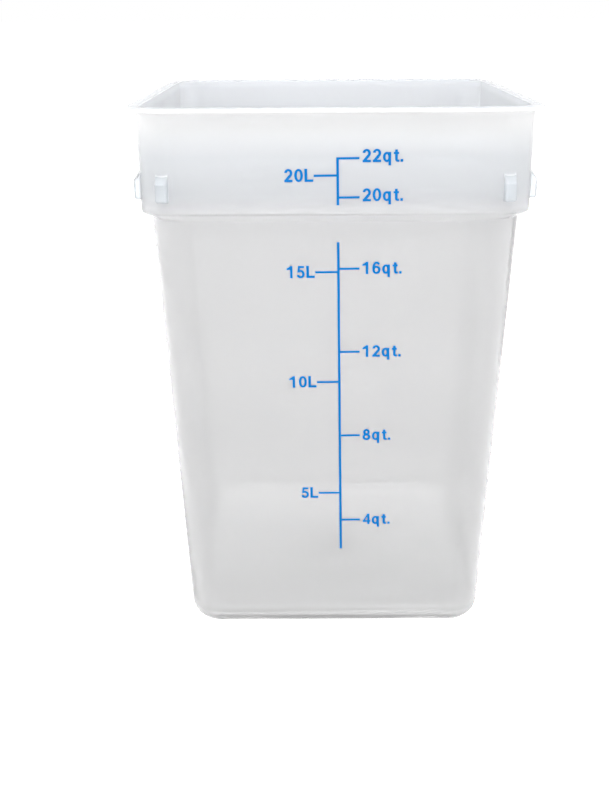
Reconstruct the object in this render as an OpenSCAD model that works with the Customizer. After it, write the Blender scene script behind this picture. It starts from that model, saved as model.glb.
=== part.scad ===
// Square translucent tub for proofing dough, with a printed scale of volumes
// Millimetres, +Z up, origin at the middle of the foot, printed wall at -Y

/* [Overall size] */
// Height from the foot to the top of the rim
height = 405; // [280:1:480]
// Width of the rim from side to side, the same both ways
rim_width = 286; // [250:1:350]
// Thickness of the walls
wall = 2.6; // [1.8:0.1:4]

/* [Rim] */
// How far the rim stands out from the collar
rim_overhang = 6.4; // [3:0.1:12]
// Thickness of the rim
rim_thickness = 3.2; // [2.4:0.1:6]
// Radius of the rim's corners, seen from above
rim_corner = 30; // [26:0.5:60]
// Rounding of the rim's edges
rim_edge = 1.1; // [0.4:0.1:1.6]

/* [Collar and ledge] */
// Height of the collar with the rim
collar_height = 72.8; // [60:0.1:90]
// How much each side of the collar draws in on its way down
collar_draft = 1; // [0.5:0.1:5]
// Width of the sloped ledge under the collar
ledge_width = 4.9; // [3:0.1:10]
// Drop of the sloped ledge
ledge_drop = 5.2; // [3:0.1:12]
// Rounding of the collar's lower edge
ledge_edge = 4.5; // [1:0.5:6]

/* [Body and foot] */
// Radius of the body's corners under the ledge, seen from above
body_corner = 33; // [18:1:36]
// Width of the foot from side to side, before its edge is rounded
foot_width = 224.5; // [180:0.5:240]
// Radius of the foot's corners, seen from above
foot_corner = 23; // [12:1:40]
// Rounding of the outer bottom edge
foot_edge = 16; // [6:0.1:18]
// Width of the flat ring that the tub stands on
foot_ring = 9; // [5:1:20]
// Height of the hollow under the floor
foot_recess = 4; // [1:0.5:6]
// Radius of the hollow's corners, seen from below
recess_corner = 12; // [2:1:30]
// Width of the round moulding point under the floor
gate_width = 11; // [4:0.5:30]
// How far the moulding point stands down from the floor
gate_drop = 0.8; // [0.3:0.1:0.9]
// Thickness of the floor
floor_thickness = 3; // [2:0.5:6]
// Rounding between the floor and the walls inside
floor_edge = 15; // [8:1:26]
// How far the floor is crowned up towards its middle
floor_crown = 5; // [1:0.5:10]

/* [Stacking lugs] */
// Width of each lug
lug_width = 8.7; // [6:0.1:14]
// Height of each lug where it meets the collar
lug_height = 20; // [15:1:32]
// Height of the lug's upright face
lug_face = 12; // [6:1:14]
// How far each lug stands out
lug_proud = 4.3; // [2:0.1:7]
// Rounding of the lug's upright edges
lug_edge = 2; // [0.5:0.1:2.5]
// Height of the lugs above the collar's lower edge
lug_lift = 9.1; // [3:0.1:14]
// Turn of each lug round the corner, from the square of its side
lug_turn = 12; // [12:1:34]

/* [Printed scale] */
// Least distance from the rim down to the height of the brim mark's volume
brim_room = 30; // [14:1:60]
// Step between the other quart marks
quart_step = 4; // [1:1:8]
// Step between the litre marks
litre_step = 5; // [1:1:10]
// Place of the upright rule at the collar's lower edge, to the right of the middle
rule_shift = 1.5; // [-40:0.1:40]
// How far the print is turned to the left on its wall, in degrees
print_turn = 0.6; // [-2:0.05:2]
// Length of the print against the heights of its volumes
print_stretch = 0.996; // [0.95:0.001:1.05]
// How far the body's print is lifted after that
lower_print_lift = 10.7; // [-12:0.1:12]
// How far the collar's print is lifted after that
upper_print_lift = 4.2; // [-12:0.1:12]
// Width of the upright rule
rule_width = 1.8; // [1:0.1:4]
// Thickness of the marks' lines
mark_line = 1.5; // [0.8:0.1:3]
// Length of the quart marks, to the right of the rule
quart_mark = 14.7; // [8:0.1:30]
// Length of the litre marks, to the left of the rule
litre_mark = 16.2; // [8:0.1:30]
// Lowest end of the rule above the foot
rule_start = 70; // [40:1:120]
// Distance from the rule to the ledge, on the body
rule_gap = 14.8; // [10:0.1:30]
// Thickness of the ink
ink = 0.2; // [0.1:0.05:0.4]

/* [Hidden] */
plastic_colour = [0.89, 0.91, 0.92];
ink_colour = [0.08, 0.42, 0.72];
litres_in_a_quart = 0.946353;
cubic_mm_in_a_litre = 1e6;

// Facets along a quarter turn of each corner and round small curves, and slices of a volume sum
corner_steps = 10;
round_facets = 24;
volume_slices = 120;
// Steps of the floor's crown from its edge to its flat middle
crown_steps = 6;
// Arcs over the large radius and over the small one get more steps than the rest
large_arc = 10;
small_arc = 3;
large_arc_steps = 9;
middle_arc_steps = 5;
small_arc_steps = 3;
// Share of a side that the rounding at one of its ends may take, and where the side's other end is sharp
side_share = 0.48;
free_share = 0.9;
// Least corner radius left where a rounding draws a corner in
least_corner = 1;
// Rule end above the collar's lower edge, and least length of a rule
rule_clearance = 6.9;
least_rule = 10;
// The body's upper edge is rounded half as much as the collar's lower one
body_edge = ledge_edge / 2;
// How far each lug's root goes on into the wall
lug_root = wall / 4;

// Half widths of the outside and heights of its bends
rim_half = rim_width / 2;
collar_top_half = rim_half - rim_overhang;
collar_low_half = collar_top_half - collar_draft;
body_top_half = collar_low_half - ledge_width;
foot_half = foot_width / 2;
under_rim = height - rim_thickness;
collar_low = height - collar_height;
body_top = collar_low - ledge_drop;
floor_top = foot_recess + floor_thickness;

// The ledge keeps the wall's thickness square to its slope, so inside it sits this much higher
ledge_angle = atan(ledge_drop / ledge_width);
ledge_rise = wall * (1 - sin(ledge_angle)) / cos(ledge_angle);

// Slopes of the body's and the collar's sides, in half width per height
body_slope = (body_top_half - foot_half) / body_top;
collar_slope = collar_draft / (under_rim - collar_low);

// Half width of the outside at a height, straight from bend to bend
function outer_half(z) =
    z < body_top ? foot_half + body_slope * z
    : z < collar_low ? body_top_half + (z - body_top) * ledge_width / ledge_drop
    : collar_low_half + collar_slope * (z - collar_low);

// Half width of the inside at a height, with the rounding at the floor
function inner_half(z) =
    let (
        bend = z < body_top + ledge_rise ? min(outer_half(z), outer_half(body_top) + body_slope * ledge_rise)
            : z < collar_low + ledge_rise ? outer_half(z - ledge_rise)
            : outer_half(z),
        sink = max(0, floor_top + floor_edge - z)
    )
    bend - wall - (floor_edge - sqrt(max(0, floor_edge * floor_edge - sink * sink)));

// Distance of the corners' centres from the middle: the body's and the ledge's follow their slopes
corner_centre_high = rim_half - rim_corner;
corner_centre_middle = body_top_half - body_corner;
corner_centre_low = foot_half - foot_corner;
function corner_centre(z) =
    z < body_top ? corner_centre_low + (corner_centre_middle - corner_centre_low) * z / body_top
    : z < collar_low ? corner_centre_middle
        + (corner_centre_high - corner_centre_middle) * (z - body_top) / ledge_drop
    : corner_centre_high;
function corner_radius(half, z) = max(least_corner, half - corner_centre(z));

// One rounded square at a height, anticlockwise from the +X side
function ring(half, z, radius) =
    let (centre = half - radius)
    [for (quarter = [0:3], step = [0:corner_steps])
        let (turn = 90 * (quarter + step / corner_steps), middle = 90 * quarter + 45)
        [
            centre * sign(cos(middle)) + radius * cos(turn),
            centre * sign(sin(middle)) + radius * sin(turn),
            z
        ]];

// Points of an arc that rounds the bend at p1, held within a length of its two sides
function unit(v) = v / norm(v);
function wrapped(turn) = turn > 180 ? turn - 360 : turn < -180 ? turn + 360 : turn;
function bend_arc(p0, p1, p2, radius, room) =
    let (
        u = unit(p0 - p1),
        v = unit(p2 - p1),
        half_angle = acos(u * v) / 2,
        r = min(radius, room * tan(half_angle)),
        middle = p1 + unit(u + v) * r / sin(half_angle),
        from = p1 + u * r / tan(half_angle) - middle,
        to = p1 + v * r / tan(half_angle) - middle,
        start = atan2(from.y, from.x),
        turn = wrapped(atan2(to.y, to.x) - start),
        steps = r > large_arc ? large_arc_steps : r > small_arc ? middle_arc_steps : small_arc_steps
    )
    [for (i = [0:steps]) middle + r * [cos(start + turn * i / steps), sin(start + turn * i / steps)]];

// The hollow under the floor is as steep as it is deep
recess_half = foot_half - foot_edge - foot_ring;
recess_top_half = recess_half - foot_recess;

// Wall profile as [half width, height, rounding], from the foot over the rim to the floor's top
floor_half = outer_half(floor_top) - wall;
level_over_lugs = collar_low + lug_lift + lug_height + lug_edge;
profile_bends = [
    [recess_half, 0, 0],
    [foot_half, 0, foot_edge],
    [body_top_half, body_top, body_edge],
    [collar_low_half, collar_low, ledge_edge],
    [outer_half(level_over_lugs), level_over_lugs, 0],
    [collar_top_half, under_rim, rim_edge],
    [rim_half, under_rim, rim_edge],
    [rim_half, height, rim_edge],
    [collar_top_half - wall, height, rim_edge],
    [collar_low_half - wall, collar_low + ledge_rise, max(least_corner, ledge_edge - wall)],
    [body_top_half + body_slope * ledge_rise - wall, body_top + ledge_rise, body_edge + wall],
    [floor_half, floor_top, floor_edge],
    [0, floor_top, 0]
];
function bend_point(i) = [profile_bends[i][0], profile_bends[i][1]];
function room_towards(i, other) =
    (profile_bends[other][2] == 0 ? free_share : side_share) * norm(bend_point(i) - bend_point(other));
profile = [
    for (i = [0:len(profile_bends) - 2])
        let (rounding = profile_bends[i][2])
        each rounding == 0 ? [bend_point(i)]
            : bend_arc(
                bend_point(i - 1), bend_point(i), bend_point(i + 1), rounding,
                min(room_towards(i, i - 1), room_towards(i, i + 1))
            )
];

// The floor rises from its rounding to a flat middle, on a smooth wave: 0 at the edge, 1 in the middle
flat_half = profile[len(profile) - 1].x;
flat_corner = corner_radius(flat_half, floor_top);
crown_parts = [for (i = [1:crown_steps]) i / crown_steps];
function crown_rise(part) = floor_crown * (1 + cos(180 * part)) / 2;
function crown_part(rise) = acos(2 * rise / floor_crown - 1) / 180;
function crown_ring(half, z, radius, part) = ring(half * part, z + crown_rise(part), radius * part);

// Area of a rounded square
function square_area(half, radius) = 4 * half * half - (4 - PI) * radius * radius;

// Inside volume from the floor up to each slice, in litres
slice = (height - floor_top) / volume_slices;
function crown_area(z) =
    z >= floor_top + floor_crown ? 0
    : let (part = crown_part(z - floor_top)) square_area(flat_half * part, flat_corner * part);
function inside_area(z) =
    let (half = inner_half(z), radius = corner_radius(half, z))
    square_area(half, radius) - crown_area(z);
volumes = [
    for (
        i = 0, total = 0;
        i <= volume_slices;
        i = i + 1,
        total = total + inside_area(floor_top + i * slice - slice / 2) * slice / cubic_mm_in_a_litre
    ) total
];

// Height at which the inside holds this many litres, or nothing above the rim
function fill_height(litres) =
    let (full = [for (i = [1:volume_slices]) if (volumes[i] >= litres) i])
    len(full) == 0 ? undef
    : let (i = full[0], part = (litres - volumes[i - 1]) / (volumes[i] - volumes[i - 1]))
        floor_top + (i - 1 + part) * slice;

// The brim mark is the last whole quart that leaves its room under the rim
function volume_below(z) = lookup(z, [for (i = [0:volume_slices]) [floor_top + i * slice, volumes[i]]]);
brim_quarts = floor(volume_below(height - brim_room) / litres_in_a_quart);
quart_heights = [
    for (quarts = [quart_step:quart_step:brim_quarts - 1]) fill_height(quarts * litres_in_a_quart),
    fill_height(brim_quarts * litres_in_a_quart)
];
litre_heights = [
    for (litres = [litre_step:litre_step:brim_quarts * litres_in_a_quart]) fill_height(litres)
];

// The print leaves the ledge, the rim and the bottom free
lower_rule_end = body_top - rule_gap;
upper_rule_start = collar_low + rule_clearance;
upper_rule_limit = under_rim - rim_overhang;
function marks_between(heights, lift, low, high) =
    let (printed = [for (z = heights) if (z != undef) z * print_stretch + lift])
    [for (z = printed) if (z >= low && z <= high) z];
upper_marks = marks_between(
    concat(quart_heights, litre_heights), upper_print_lift, upper_rule_start, upper_rule_limit
);
upper_rule_end = max(concat(upper_marks, upper_rule_start + least_rule)) + mark_line / 2;

// Rings of the shell in order: the hollow under the floor, the foot, the walls and the floor's top
shell_rings = [
    for (part = crown_parts) crown_ring(recess_top_half, foot_recess, recess_corner, part),
    ring(recess_half, 0, recess_corner),
    for (i = [1:len(profile) - 1])
        let (p = profile[i])
        ring(p.x, p.y, corner_radius(p.x, p.y)),
    for (i = [crown_steps - 2:-1:0]) crown_ring(flat_half, floor_top, flat_corner, crown_parts[i])
];

// Closed shell: the rings joined in order, with a cap under the floor and one on it
module shell() {
    points = [for (r = shell_rings) each r];
    around = 4 * (corner_steps + 1);
    rings = len(shell_rings);
    function point(level, place) = level * around + place % around;
    polyhedron(
        points = points,
        faces = [
            [for (place = [0:around - 1]) point(0, place)],
            for (level = [0:rings - 2], place = [0:around - 1]) each [
                [point(level, place), point(level + 1, place), point(level + 1, place + 1)],
                [point(level, place), point(level + 1, place + 1), point(level, place + 1)]
            ],
            [for (place = [around - 1:-1:0]) point(rings - 1, place)]
        ]
    );
}

// One lug in the corner's own frame, with its back sunk to the middle of the wall
module lug() {
    low = collar_low + lug_lift;
    seat = corner_radius(outer_half(low), low) - wall / 2;
    tip = corner_radius(outer_half(low + lug_face), low + lug_face) + lug_proud;
    hull() {
        translate([seat, -lug_width / 2, low]) cube([lug_root, lug_width, lug_height]);
        for (side = [-1, 1])
            translate([tip - lug_edge, side * (lug_width / 2 - lug_edge), low + lug_edge]) {
                sphere(r = lug_edge, $fn = round_facets);
                translate([0, 0, lug_face - lug_edge]) sphere(r = lug_edge, $fn = round_facets);
            }
    }
}

// Two lugs round each corner, mirrored about its diagonal
module lugs() {
    for (quarter = [0:3], turn = [lug_turn, 90 - lug_turn])
        rotate([0, 0, 90 * quarter])
            translate([corner_centre_high, corner_centre_high, 0])
                rotate([0, 0, turn]) lug();
}

// Round mark where the plastic came into the mould, sunk to the middle of the floor
module gate() {
    translate([0, 0, foot_recess + floor_crown - gate_drop])
        cylinder(d = gate_width, h = gate_drop + floor_thickness / 2, $fn = round_facets * 2);
}

// The one-piece moulding
module tub() {
    color(plastic_colour) {
        shell();
        lugs();
        gate();
    }
}

// Rule with its quart and litre marks, drawn flat: across, and up the wall from the height base
module scale_lines(base, start, end, slope, lift) {
    stretch = sqrt(1 + slope * slope);
    function along(z) = (z - base) * stretch;
    translate([rule_shift, along(collar_low)]) rotate(print_turn) translate([0, -along(collar_low)]) {
        translate([-rule_width / 2, along(start)]) square([rule_width, along(end) - along(start)]);
        for (z = marks_between(quart_heights, lift, start, end))
            translate([0, along(z) - mark_line / 2]) square([quart_mark, mark_line]);
        for (z = marks_between(litre_heights, lift, start, end))
            translate([-litre_mark, along(z) - mark_line / 2]) square([litre_mark, mark_line]);
    }
}

// Ink on a front wall that passes the height base at this half width and leans by this slope
module wall_print(base, half, slope) {
    color(ink_colour)
        translate([0, -half, base])
            rotate([90 + atan(slope), 0, 0])
                linear_extrude(ink) children();
}

// Ink on the body, below the ledge
module lower_scale_print() {
    wall_print(0, foot_half, body_slope)
        scale_lines(0, rule_start, lower_rule_end, body_slope, lower_print_lift);
}

// Ink on the collar, above the ledge
module upper_scale_print() {
    wall_print(collar_low, collar_low_half, collar_slope)
        scale_lines(collar_low, upper_rule_start, upper_rule_end, collar_slope, upper_print_lift);
}

tub();
lower_scale_print();
upper_scale_print();
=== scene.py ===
# Looks of the dough proofing tub: plastic, ink, printed figures, floor, light and camera
import math

import bmesh
import bpy
from mathutils import Matrix, Vector
from mathutils.geometry import delaunay_2d_cdt


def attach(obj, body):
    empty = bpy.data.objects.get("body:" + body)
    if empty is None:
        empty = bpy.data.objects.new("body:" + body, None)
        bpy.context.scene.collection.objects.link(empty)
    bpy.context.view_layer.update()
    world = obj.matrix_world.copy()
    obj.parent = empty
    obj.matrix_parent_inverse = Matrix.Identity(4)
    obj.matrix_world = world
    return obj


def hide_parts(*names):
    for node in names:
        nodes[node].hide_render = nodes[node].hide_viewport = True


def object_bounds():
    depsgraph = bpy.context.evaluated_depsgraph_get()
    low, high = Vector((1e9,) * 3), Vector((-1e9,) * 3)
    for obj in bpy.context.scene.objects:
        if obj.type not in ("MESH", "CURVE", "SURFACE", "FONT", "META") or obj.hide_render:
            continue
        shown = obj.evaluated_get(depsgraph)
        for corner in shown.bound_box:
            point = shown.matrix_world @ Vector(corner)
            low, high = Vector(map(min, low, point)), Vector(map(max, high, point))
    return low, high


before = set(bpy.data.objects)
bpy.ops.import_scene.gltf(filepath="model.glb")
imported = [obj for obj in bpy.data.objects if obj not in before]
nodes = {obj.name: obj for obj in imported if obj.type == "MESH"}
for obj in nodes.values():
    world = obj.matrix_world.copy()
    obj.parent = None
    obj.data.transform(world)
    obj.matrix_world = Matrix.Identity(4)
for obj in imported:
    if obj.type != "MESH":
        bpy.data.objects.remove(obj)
cad_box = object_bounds()
scene = bpy.context.scene
scene.view_settings.view_transform = "Standard"

# Camera, in metres, radians and pixels of the photograph's frame
FRAME_WIDTH_PX = 609
FRAME_HEIGHT_PX = 800
SENSOR_MM = 36.0
FOCAL_PX = 1070.04
PRINCIPAL_X_PX = 315.04
PRINCIPAL_Y_PX = 300.0
CAMERA_PLACE = (-0.01448, -0.85368, 0.47134)
CAMERA_PITCH = 0.2703
CAMERA_ROLL = -0.0049
CAMERA_NEAR = 0.01
CAMERA_FAR = 100.0

# The print's lean on its wall, as in the part's source
PRINT_TURN = math.radians(0.6)

# Printed figures, in metres: digit height, gaps from the marks' ends, lifts, and thickness of the ink
FIGURE_HEIGHT = 0.00875
QUART_GAP = 0.0020
LITRE_GAP = 0.0003
COLLAR_QUART_LIFT = 0.0016
FIGURE_LIFT = 0.0004
INK_THICKNESS = 0.0002

# Points of a printed rule that are this near, in metres, lie at one end of it, or on one mark
RULE_END_REACH = 0.001
MARK_END_REACH = 0.0005
MARK_REACH = 0.0025

# Bold sans-serif figures, in shares of the digit height, and the steps in a bow
STEM = 0.19
THIN = 0.155
INK_SPREAD = 0.01
DIGIT_MIDDLE = 0.5
DIGIT_ADVANCE = 0.79
ADVANCES = {"q": 0.83, "t": 0.53, "L": 0.68, ".": 0.18}
ARC_STEPS = 24

# Joining of a figure's quads: keep what they cover, and take corners closer than this as one
COVERED_ONLY = 1
QUAD_REACH = 1e-6

# The tub's mesh: corners closer than this are one, and edges bent more than this stay sharp
WELD_REACH = 1e-6
SHARP_ANGLE = math.radians(32)

# Plastic: refraction, gloss, depth of the milky light, roughness and unevenness
PLASTIC_IOR = 1.49
PLASTIC_SHINE = 0.1
MILKY_REACH = 0.0015
EVEN_REACH = (1.0, 1.0, 1.0)
ROUGH_LEAST = 0.01
ROUGH_MOST = 0.03
BUMP_STRENGTH = 0.01
BUMP_DEPTH = 0.0004
CLOUD_MOST = 0.05

# Ink: refraction, gloss and roughness
INK_IOR = 1.45
INK_SHINE = 0.15
INK_ROUGH_LEAST = 0.38
INK_ROUGH_MOST = 0.55

# Noise, each as scale and detail
CLOUD_NOISE = (14.0, 2.0)
WAVE_NOISE = (60.0, 2.0)
GRAIN_NOISE = (900.0, 3.0)
INK_NOISE = (350.0, 3.0)

# Share of the light that goes straight through the plastic
CLEAR_BODY = 0.75
CLEAR_LEDGE = 0.5
CLEAR_COLLAR = 0.30
CLEAR_RIM = 0.15
CLEAR_RIM_TOP = 0.6
CLEAR_LUG = 0.72
CLEAR_FLOOR = 0.1
CLEAR_EDGE = 0.35

# Rounded squares that part the faces: core and corner radius, at the ground and per metre up
BODY_CORE = (0.08925, 0.02584)
BODY_RADIUS = (0.0217, 0.03058)
FLOOR_RADIUS = (0.01825, 0.0)
COLLAR_CORE = (0.113, 0.0)
COLLAR_RADIUS = (0.0164, 0.0145)
LUG_RADIUS = (0.0194, 0.0122)

# Lowest and highest point of the inner faces and the lugs, in metres
FLOOR_BAND = (0.0056, 0.0115)
EDGE_BAND = (0.0115, 0.0187)
CHAMBER_BAND = (0.0187, 0.325)
MOUTH_BAND = (0.343, 0.4045)
LUG_BAND = (0.336, 0.376)

# Heights where the walls change their look and their painted light and shade, in metres from the
# ground up
GROUND = 0.0
FOOT_MIDDLE = 0.010
FOOT_TOP = 0.018
BODY_LOW = 0.03
BODY_MIDDLE_LOW = 0.09
BODY_MIDDLE_HIGH = 0.25
BODY_HIGH = 0.33
LEDGE_LOW = 0.332
LEDGE_HIGH = 0.345
COLLAR_MIDDLE = 0.372
COLLAR_HIGH = 0.398
RIM_LOW = 0.4018
RIM_HIGH = 0.404
RIM_TOP = 0.405

# Colours, linear: walls from the ground up, inner faces, lugs, clouds and ink. Walls, inner faces and
# lugs have the plastic's own colour with painted light and shade on it.
FOOT_TINT_LOW = (0.9, 0.9, 0.9, 1.0)
# Painted shade: a darker band low on the foot
FOOT_SHADED_TINT = (0.67, 0.67, 0.67, 1.0)
# Painted light and shade on the body: lighter low down, darker in the middle, lighter again under the
# ledge
BODY_LOW_LIT_TINT = (0.88, 0.88, 0.88, 1.0)
BODY_MIDDLE_SHADED_TINT = (0.785, 0.785, 0.785, 1.0)
BODY_HIGH_LIT_TINT = (0.83, 0.83, 0.835, 1.0)
# Painted light on the collar and rim: darker and cooler low on the collar, lighter towards the rim,
# white on the rim's face
COLLAR_LOW_SHADED_TINT = (0.70, 0.71, 0.73, 1.0)
COLLAR_MIDDLE_SHADED_TINT = (0.75, 0.765, 0.785, 1.0)
COLLAR_HIGH_LIT_TINT = (1.0, 1.0, 1.0, 1.0)
RIM_LIT_TINT = (1.0, 1.0, 1.0, 1.0)
# Painted shade: a darker, cooler rim top where the lamp over the tub falls
RIM_TOP_SHADED_TINT = (0.74, 0.77, 0.81, 1.0)
FLOOR_TINT = (1.0, 1.0, 1.0, 1.0)
# Painted highlight: a light band along the floor's rounded inner edge
EDGE_HIGHLIGHT_TINT = (1.0, 1.0, 1.0, 1.0)
# Painted shade: darker inner faces of the body and the collar, cooler in the collar
CHAMBER_SHADED_TINT = (0.68, 0.68, 0.685, 1.0)
MOUTH_SHADED_TINT = (0.73, 0.745, 0.77, 1.0)
# Painted light: lugs lighter and cooler than the collar
LUG_LIT_TINT = (0.85, 0.895, 0.94, 1.0)
CLOUD_TINT = (0.6, 0.62, 0.65, 1.0)
INK_BLUE = (0.001, 0.148, 0.455, 1.0)
INK_BLUE_THIN = (0.002, 0.172, 0.510, 1.0)

# World and floor, with 1 as white, and the floor's half width and its gap under the tub in metres
WORLD_COLOUR = (1.0, 1.0, 1.0, 1.0)
WORLD_LIGHT = 0.9
WORLD_SEEN = 1.0
FLOOR_COLOUR = (0.7, 0.7, 0.7, 1.0)
FLOOR_GLOW = 0.8
FLOOR_REACH = 30.0
FLOOR_GAP = 0.0002

# Lamps: power in watts, place, size and the points that they face in metres
TOP_POWER = 8.0
TOP_PLACE = (0.0, -0.44, 1.3)
TOP_SIZE = (0.3, 0.3)
TOP_AIM = (0.0, 0.0, 0.3)
LEFT_POWER = 9.5
LEFT_PLACE = (-1.5, -0.6, 0.9)
RIGHT_POWER = 8.0
RIGHT_PLACE = (1.5, -0.6, 0.9)
SIDE_SIZE = (0.9, 1.2)
FRONT_POWER = 4.5
FRONT_PLACE = (0.0, -2.0, 0.56)
FRONT_SIZE = (1.2, 0.25)
BODY_AIM = (0.0, 0.0, 0.2)


def add_object(name, data):
    obj = bpy.data.objects.new(name, data)
    scene.collection.objects.link(obj)
    return obj


def add_camera():
    data = bpy.data.cameras.new("camera")
    data.sensor_fit = "AUTO"
    data.sensor_width = SENSOR_MM
    long_side = max(FRAME_WIDTH_PX, FRAME_HEIGHT_PX)
    data.lens = FOCAL_PX * SENSOR_MM / long_side
    data.shift_x = (FRAME_WIDTH_PX / 2 - PRINCIPAL_X_PX) / long_side
    data.shift_y = (PRINCIPAL_Y_PX - FRAME_HEIGHT_PX / 2) / long_side
    data.clip_start = CAMERA_NEAR
    data.clip_end = CAMERA_FAR
    camera = add_object("camera", data)
    camera.location = CAMERA_PLACE
    pitch = Matrix.Rotation(math.pi / 2 - CAMERA_PITCH, 3, "X")
    roll = Matrix.Rotation(CAMERA_ROLL, 3, "Z")
    camera.rotation_euler = (pitch @ roll).to_euler()
    scene.camera = camera


def feed(tree, value, socket):
    """Links another node's output to a socket, or sets a fixed number, vector or colour on it."""
    if isinstance(value, bpy.types.NodeSocket):
        tree.links.new(value, socket)
    else:
        socket.default_value = value


def math_node(tree, operation, *values):
    node = tree.nodes.new("ShaderNodeMath")
    node.operation = operation
    for value, socket in zip(values, node.inputs):
        feed(tree, value, socket)
    return node.outputs["Value"]


def vector_math(tree, operation, *values):
    node = tree.nodes.new("ShaderNodeVectorMath")
    node.operation = operation
    for value, socket in zip(values, node.inputs):
        feed(tree, value, socket)
    return node.outputs["Value" if operation == "LENGTH" else "Vector"]


def noise(tree, place, kind):
    """Noise from 0 to 1, of a kind given as scale and detail."""
    node = tree.nodes.new("ShaderNodeTexNoise")
    scale, detail = kind
    node.inputs["Scale"].default_value = scale
    node.inputs["Detail"].default_value = detail
    tree.links.new(place, node.inputs["Vector"])
    return node.outputs["Fac"]


def mapped(tree, value, low, high):
    """Takes a value from 0 to 1 to the range from low to high."""
    node = tree.nodes.new("ShaderNodeMapRange")
    node.inputs["To Min"].default_value = low
    node.inputs["To Max"].default_value = high
    tree.links.new(value, node.inputs["Value"])
    return node.outputs["Result"]


def blend(tree, factor, under, over):
    """The first colour where the factor is 0, and the second where it is 1."""
    node = tree.nodes.new("ShaderNodeMix")
    node.data_type = "RGBA"
    feed(tree, factor, node.inputs["Factor"])
    feed(tree, under, node.inputs["A"])
    feed(tree, over, node.inputs["B"])
    return node.outputs["Result"]


def grey(level):
    return (level, level, level, 1.0)


def by_height(tree, height, stops):
    """A colour that runs through the stops, each a height in metres and a linear colour."""
    full = stops[-1][0]
    scaled = tree.nodes.new("ShaderNodeMapRange")
    scaled.inputs["From Max"].default_value = full
    tree.links.new(height, scaled.inputs["Value"])
    node = tree.nodes.new("ShaderNodeValToRGB")
    tree.links.new(scaled.outputs["Result"], node.inputs["Fac"])
    ramp = node.color_ramp
    while len(ramp.elements) < len(stops):
        ramp.elements.new(1.0)
    for element, (level, colour) in zip(ramp.elements, stops):
        element.position = level / full
        element.color = colour
    return node.outputs["Color"]


def band(tree, height, limits):
    """1 between two heights, and 0 elsewhere."""
    low, high = limits
    return math_node(tree, "COMPARE", height, (low + high) / 2, (high - low) / 2)


def within(tree, place, height, core, radius):
    """1 inside a rounded square about the middle, and 0 outside it."""
    flat = vector_math(tree, "MULTIPLY", place, (1.0, 1.0, 0.0))
    folded = vector_math(tree, "ABSOLUTE", flat)
    core_line = math_node(tree, "MULTIPLY_ADD", height, core[1], core[0])
    core_corner = tree.nodes.new("ShaderNodeCombineXYZ")
    tree.links.new(core_line, core_corner.inputs["X"])
    tree.links.new(core_line, core_corner.inputs["Y"])
    past_core = vector_math(tree, "SUBTRACT", folded, core_corner.outputs["Vector"])
    beyond = vector_math(tree, "MAXIMUM", past_core, (0.0, 0.0, 0.0))
    distance = vector_math(tree, "LENGTH", beyond)
    limit = math_node(tree, "MULTIPLY_ADD", height, radius[1], radius[0])
    return math_node(tree, "LESS_THAN", distance, limit)


def opposite(tree, mask):
    return math_node(tree, "SUBTRACT", 1.0, mask)


def tub_masks(tree, place, height):
    """Five masks: floor, its rounded edge, inside of the body, inside of the collar, and lugs."""
    in_base = within(tree, place, height, BODY_CORE, FLOOR_RADIUS)
    in_body = within(tree, place, height, BODY_CORE, BODY_RADIUS)
    in_collar = within(tree, place, height, COLLAR_CORE, COLLAR_RADIUS)
    past_collar = opposite(tree, within(tree, place, height, COLLAR_CORE, LUG_RADIUS))
    areas = (
        (in_base, FLOOR_BAND),
        (in_body, EDGE_BAND),
        (in_body, CHAMBER_BAND),
        (in_collar, MOUTH_BAND),
        (past_collar, LUG_BAND),
    )
    return [math_node(tree, "MULTIPLY", area, band(tree, height, limits)) for area, limits in areas]


def new_material(name):
    material = bpy.data.materials.new(name)
    material.use_nodes = True
    tree = material.node_tree
    tree.nodes.clear()
    output = tree.nodes.new("ShaderNodeOutputMaterial")
    return material, tree, output


def new_surface(name, ior, shine):
    """A material of one shader, with its node tree, the shader and the object's own coordinates."""
    material, tree, output = new_material(name)
    place = tree.nodes.new("ShaderNodeTexCoord").outputs["Object"]
    shader = tree.nodes.new("ShaderNodeBsdfPrincipled")
    shader.inputs["IOR"].default_value = ior
    shader.inputs["Specular IOR Level"].default_value = shine
    tree.links.new(shader.outputs["BSDF"], output.inputs["Surface"])
    return material, tree, shader, place


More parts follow.
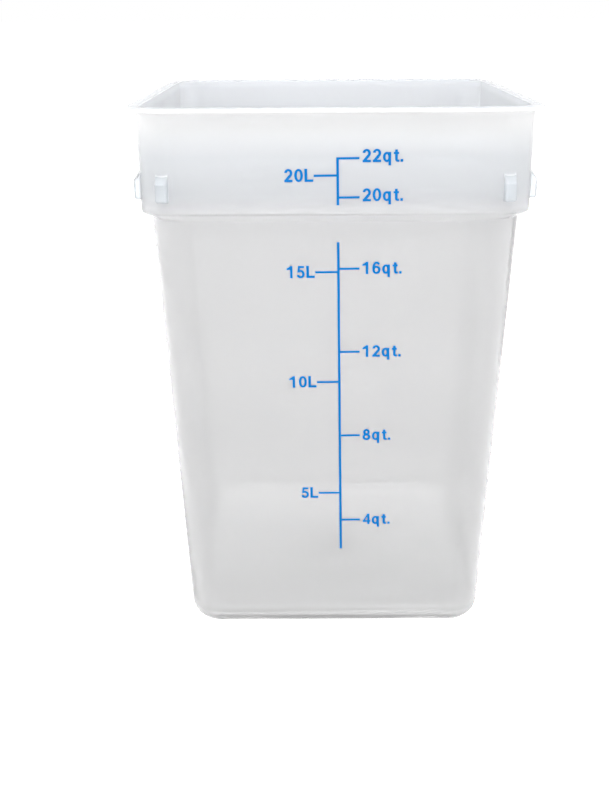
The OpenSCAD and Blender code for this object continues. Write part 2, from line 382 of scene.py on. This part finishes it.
def plastic():
    """Milky see-through plastic. Its clear share, and its colour with painted light and shade, follow
    the height and the inner faces.
    """
    material, tree, shader, place = new_surface("clear_plastic", PLASTIC_IOR, PLASTIC_SHINE)
    shader.inputs["Subsurface Radius"].default_value = EVEN_REACH
    shader.inputs["Subsurface Scale"].default_value = MILKY_REACH
    parts = tree.nodes.new("ShaderNodeSeparateXYZ")
    tree.links.new(place, parts.inputs["Vector"])
    height = parts.outputs["Z"]
    floor, edge, chamber, mouth, lugs = tub_masks(tree, place, height)

    clear = by_height(tree, height, [
        (GROUND, grey(CLEAR_BODY)),
        (LEDGE_LOW, grey(CLEAR_BODY)),
        (LEDGE_HIGH, grey(CLEAR_LEDGE)),
        (COLLAR_HIGH, grey(CLEAR_COLLAR)),
        (RIM_LOW, grey(CLEAR_RIM)),
        (RIM_HIGH, grey(CLEAR_RIM)),
        (RIM_TOP, grey(CLEAR_RIM_TOP)),
    ])
    for mask, share in ((lugs, CLEAR_LUG), (floor, CLEAR_FLOOR), (edge, CLEAR_EDGE)):
        clear = blend(tree, mask, clear, grey(share))
    tree.links.new(clear, shader.inputs["Transmission Weight"])
    milky = opposite(tree, math_node(tree, "MAXIMUM", floor, edge))
    tree.links.new(milky, shader.inputs["Subsurface Weight"])

    # Painted light and shade by height, over the plastic's own colour: a darker band at the foot, a
    # darker middle on the body, a cooler collar that lightens towards the rim, and a darker rim top
    tint_and_light = by_height(tree, height, [
        (GROUND, FOOT_TINT_LOW),
        (FOOT_MIDDLE, FOOT_SHADED_TINT),
        (FOOT_TOP, BODY_LOW_LIT_TINT),
        (BODY_LOW, BODY_LOW_LIT_TINT),
        (BODY_MIDDLE_LOW, BODY_MIDDLE_SHADED_TINT),
        (BODY_MIDDLE_HIGH, BODY_MIDDLE_SHADED_TINT),
        (BODY_HIGH, BODY_HIGH_LIT_TINT),
        (LEDGE_HIGH, COLLAR_LOW_SHADED_TINT),
        (COLLAR_MIDDLE, COLLAR_MIDDLE_SHADED_TINT),
        (COLLAR_HIGH, COLLAR_HIGH_LIT_TINT),
        (RIM_LOW, RIM_LIT_TINT),
        (RIM_HIGH, RIM_LIT_TINT),
        (RIM_TOP, RIM_TOP_SHADED_TINT),
    ])
    # Painted shade on the inner faces of body and collar, a painted highlight along the floor's
    # rounded edge, and painted light on the lugs
    for mask, colour in (
        (floor, FLOOR_TINT),
        (edge, EDGE_HIGHLIGHT_TINT),
        (chamber, CHAMBER_SHADED_TINT),
        (mouth, MOUTH_SHADED_TINT),
        (lugs, LUG_LIT_TINT),
    ):
        tint_and_light = blend(tree, mask, tint_and_light, colour)
    cloud = mapped(tree, noise(tree, place, CLOUD_NOISE), 0.0, CLOUD_MOST)
    tree.links.new(blend(tree, cloud, tint_and_light, CLOUD_TINT), shader.inputs["Base Color"])

    grain = noise(tree, place, GRAIN_NOISE)
    tree.links.new(mapped(tree, grain, ROUGH_LEAST, ROUGH_MOST), shader.inputs["Roughness"])
    bump = tree.nodes.new("ShaderNodeBump")
    bump.inputs["Strength"].default_value = BUMP_STRENGTH
    bump.inputs["Distance"].default_value = BUMP_DEPTH
    tree.links.new(noise(tree, place, WAVE_NOISE), bump.inputs["Height"])
    tree.links.new(bump.outputs["Normal"], shader.inputs["Normal"])
    return material


def ink():
    """Matte blue ink that covers a little more or less from place to place."""
    material, tree, shader, place = new_surface("blue_ink", INK_IOR, INK_SHINE)
    cover = noise(tree, place, INK_NOISE)
    tree.links.new(blend(tree, cover, INK_BLUE, INK_BLUE_THIN), shader.inputs["Base Color"])
    rough = mapped(tree, cover, INK_ROUGH_LEAST, INK_ROUGH_MOST)
    tree.links.new(rough, shader.inputs["Roughness"])
    return material


def paint(obj, material):
    obj.data.materials.clear()
    obj.data.materials.append(material)


def smooth_tub(node, material):
    """The same faces as the CAD node's, with shared corners, so that its roundings shade smoothly."""
    work = bmesh.new()
    work.from_mesh(node.data)
    bmesh.ops.remove_doubles(work, verts=work.verts, dist=WELD_REACH)
    work.verts.index_update()
    points = [vertex.co for vertex in work.verts]
    faces = [[vertex.index for vertex in face.verts] for face in work.faces]
    mesh = bpy.data.meshes.new("smooth_tub")
    mesh.from_pydata(points, [], faces)
    work.free()
    mesh.polygons.foreach_set("use_smooth", [True] * len(mesh.polygons))
    mesh.set_sharp_from_angle(angle=SHARP_ANGLE)
    piece = add_object("smooth_tub", mesh)
    evened = piece.modifiers.new("evened_shading", "WEIGHTED_NORMAL")
    evened.keep_sharp = True
    paint(piece, material)
    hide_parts("tub")
    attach(piece, "root")


def box(left, low, right, high):
    """A printed bar as one quad. Ink spreads a little past its outline, here and in a bow."""
    left -= INK_SPREAD
    low -= INK_SPREAD
    right += INK_SPREAD
    high += INK_SPREAD
    return [[(left, low), (right, low), (right, high), (left, high)]]


def bow(centre_x, centre_y, reach_x, reach_y, start, end):
    """Part of an oval ring, anticlockwise between two angles in degrees, as quads."""
    outer = (reach_x + INK_SPREAD, reach_y + INK_SPREAD)
    inner = (reach_x - STEM - INK_SPREAD, reach_y - THIN - INK_SPREAD)

    def at(turn, reach):
        return centre_x + reach[0] * math.cos(turn), centre_y + reach[1] * math.sin(turn)

    turns = [math.radians(start + (end - start) * i / ARC_STEPS) for i in range(ARC_STEPS + 1)]
    return [[at(a, inner), at(a, outer), at(b, outer), at(b, inner)] for a, b in zip(turns, turns[1:])]


def glyph(sign):
    """Quads that cover one figure or letter, in digit heights from x = 0 and the baseline up."""
    if sign == "0":
        return bow(0.33, 0.5, 0.33, 0.505, 0, 360)
    if sign == "1":
        flag = [(0.0, 0.66), (0.3, 0.71), (0.34, 1.0), (0.0, 0.80)]
        return box(0.28, 0, 0.47, 1) + [flag]
    if sign == "2":
        diagonal = [(0.03, 0.14), (0.30, 0.14), (0.54, 0.41), (0.39, 0.57)]
        return bow(0.33, 0.68, 0.31, 0.325, -50, 172) + [diagonal] + box(0.02, 0, 0.64, 0.165)
    if sign == "4":
        diagonal = [(0.02, 0.36), (0.18, 0.36), (0.42, 0.76), (0.42, 1.0)]
        return box(0.40, 0, 0.585, 1) + box(0.02, 0.22, 0.68, 0.37) + [diagonal]
    if sign == "5":
        back = [(0.06, 0.46), (0.235, 0.46), (0.295, 0.99), (0.13, 0.99)]
        return box(0.13, 0.84, 0.61, 0.99) + [back] + bow(0.325, 0.325, 0.325, 0.34, -165, 140)
    if sign == "6":
        return bow(0.335, 0.325, 0.325, 0.335, 0, 360) + bow(0.345, 0.5, 0.335, 0.51, 38, 200)
    if sign == "8":
        return bow(0.33, 0.735, 0.275, 0.27, 0, 360) + bow(0.33, 0.29, 0.325, 0.295, 0, 360)
    if sign == "q":
        return bow(0.3, 0.375, 0.3, 0.385, 0, 360) + box(0.43, -0.27, 0.615, 0.745)
    if sign == "t":
        foot = bow(0.31, 0.2, 0.2, 0.205, 180, 270) + box(0.31, -0.005, 0.41, 0.15)
        return box(0.11, 0.2, 0.295, 0.93) + foot + box(0, 0.6, 0.4, 0.745)
    if sign == "L":
        return box(0, 0, 0.2, 1) + box(0, 0, 0.66, 0.17)
    return box(0, 0, 0.18, 0.19)


def glyph_mesh(quads):
    """Joins overlapping quads into one flat mesh without doubled faces."""
    points = [Vector(corner) for quad in quads for corner in quad]
    corners = [list(range(4 * i, 4 * i + 4)) for i in range(len(quads))]
    joined = delaunay_2d_cdt(points, [], corners, COVERED_ONLY, QUAD_REACH)
    spots, _, faces, _, _, sources = joined
    return spots, [face for face, source in zip(faces, sources) if source]


def print_axes(node):
    """The ink's front at the rule's foot, and the print's own directions across and up its wall."""
    points = [vertex.co for vertex in node.data.vertices]
    top = max(point.z for point in points)
    low = min(point.z for point in points)
    top_y = min(point.y for point in points if point.z > top - RULE_END_REACH)
    low_y = min(point.y for point in points if point.z < low + RULE_END_REACH)
    wall_up = Vector((0.0, top_y - low_y, top - low)).normalized()
    wall_right = Vector((1.0, 0.0, 0.0))
    right = wall_right * math.cos(PRINT_TURN) + wall_up * math.sin(PRINT_TURN)
    up = wall_up * math.cos(PRINT_TURN) - wall_right * math.sin(PRINT_TURN)
    return Vector((0.0, low_y, low)), right, up


def marks(node, side):
    """The end and the heights of the marks on one side of a printed rule, highest first."""
    origin, right, up = print_axes(node)
    offsets = [vertex.co - origin for vertex in node.data.vertices]
    places = [(offset.dot(right), offset.dot(up)) for offset in offsets]
    end = max(side * across for across, _ in places)
    rises = [rise for across, rise in places if side * across > end - MARK_END_REACH]
    groups = []
    for rise in sorted(rises, reverse=True):
        if groups and groups[-1][-1] - rise < MARK_REACH:
            groups[-1].append(rise)
        else:
            groups.append([rise])
    return end * side, [(max(group) + min(group)) / 2 for group in groups]


def figure(name, label, side, start, middle, axes, material):
    """One printed label that starts at the mark's end, or ends there on the left."""
    origin, right, up = axes
    out = right.cross(up)
    spots = []
    faces = []
    along = 0.0
    for sign in label:
        sign_spots, sign_faces = glyph_mesh(glyph(sign))
        first = len(spots)
        spots.extend((along + spot.x, spot.y - DIGIT_MIDDLE) for spot in sign_spots)
        faces.extend([first + corner for corner in face] for face in sign_faces)
        along += ADVANCES.get(sign, DIGIT_ADVANCE)
    shift = 0.0 if side > 0 else max(x for x, _ in spots)
    points = [
        origin + right * (start + (x - shift) * FIGURE_HEIGHT) + up * (middle + y * FIGURE_HEIGHT)
        for x, y in spots
    ]
    mesh = bpy.data.meshes.new(name)
    mesh.from_pydata(points, [], faces)
    piece = add_object(name, mesh)
    film = piece.modifiers.new("ink_film", "SOLIDIFY")
    film.thickness = INK_THICKNESS
    film.offset = 1.0 if mesh.polygons[0].normal.dot(out) < 0 else -1.0
    paint(piece, material)
    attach(piece, "root")


def figures(node, side, values, unit, gap, lift, material):
    """Labels for the marks on one side of a printed rule, highest first."""
    axes = print_axes(node)
    end, rises = marks(node, side)
    for value, rise in zip(values, rises):
        name = f"figure_{value}_{unit.strip('.')}"
        figure(name, f"{value}{unit}", side, end + side * gap, rise + lift, axes, material)


def seen_directly(tree):
    """1 for rays from the camera, from gloss and through the plastic, and 0 for other light."""
    path = tree.nodes.new("ShaderNodeLightPath")
    seen = math_node(tree, "MAXIMUM", path.outputs["Is Camera Ray"], path.outputs["Is Glossy Ray"])
    return math_node(tree, "MAXIMUM", seen, path.outputs["Is Transmission Ray"])


def add_floor():
    reach = FLOOR_REACH
    corners = [(-reach, -reach, 0), (reach, -reach, 0), (reach, reach, 0), (-reach, reach, 0)]
    mesh = bpy.data.meshes.new("floor")
    mesh.from_pydata(corners, [], [(0, 1, 2, 3)])
    floor = add_object("floor", mesh)
    floor.location.z = cad_box[0].z - FLOOR_GAP
    material, tree, output = new_material("floor_white")
    diffuse = tree.nodes.new("ShaderNodeBsdfDiffuse")
    diffuse.inputs["Color"].default_value = FLOOR_COLOUR
    glow = tree.nodes.new("ShaderNodeEmission")
    strength = math_node(tree, "MULTIPLY", seen_directly(tree), FLOOR_GLOW)
    tree.links.new(strength, glow.inputs["Strength"])
    both = tree.nodes.new("ShaderNodeAddShader")
    tree.links.new(diffuse.outputs["BSDF"], both.inputs[0])
    tree.links.new(glow.outputs["Emission"], both.inputs[1])
    tree.links.new(both.outputs["Shader"], output.inputs["Surface"])
    paint(floor, material)


def add_world():
    world = bpy.data.worlds.new("studio")
    scene.world = world
    world.use_nodes = True
    tree = world.node_tree
    tree.nodes.clear()
    output = tree.nodes.new("ShaderNodeOutputWorld")
    background = tree.nodes.new("ShaderNodeBackground")
    background.inputs["Color"].default_value = WORLD_COLOUR
    strength = mapped(tree, seen_directly(tree), WORLD_LIGHT, WORLD_SEEN)
    tree.links.new(strength, background.inputs["Strength"])
    tree.links.new(background.outputs["Background"], output.inputs["Surface"])


def add_lamp(name, place, aim, size, power):
    data = bpy.data.lights.new(name, "AREA")
    data.shape = "RECTANGLE"
    data.size, data.size_y = size
    data.energy = power
    lamp = add_object(name, data)
    lamp.location = place
    direction = Vector(aim) - Vector(place)
    lamp.rotation_euler = direction.to_track_quat("-Z", "Y").to_euler()


add_camera()

upper_print = nodes["upper_scale_print"]
lower_print = nodes["lower_scale_print"]
ink_material = ink()
smooth_tub(nodes["tub"], plastic())
paint(lower_print, ink_material)
paint(upper_print, ink_material)
figures(upper_print, 1, (22, 20), "qt.", QUART_GAP, COLLAR_QUART_LIFT, ink_material)
figures(lower_print, 1, (16, 12, 8, 4), "qt.", QUART_GAP, FIGURE_LIFT, ink_material)
figures(upper_print, -1, (20,), "L", LITRE_GAP, FIGURE_LIFT, ink_material)
figures(lower_print, -1, (15, 10, 5), "L", LITRE_GAP, FIGURE_LIFT, ink_material)

add_floor()
add_world()
add_lamp("top_light", TOP_PLACE, TOP_AIM, TOP_SIZE, TOP_POWER)
add_lamp("left_light", LEFT_PLACE, BODY_AIM, SIDE_SIZE, LEFT_POWER)
add_lamp("right_light", RIGHT_PLACE, BODY_AIM, SIDE_SIZE, RIGHT_POWER)
add_lamp("front_light", FRONT_PLACE, BODY_AIM, FRONT_SIZE, FRONT_POWER)
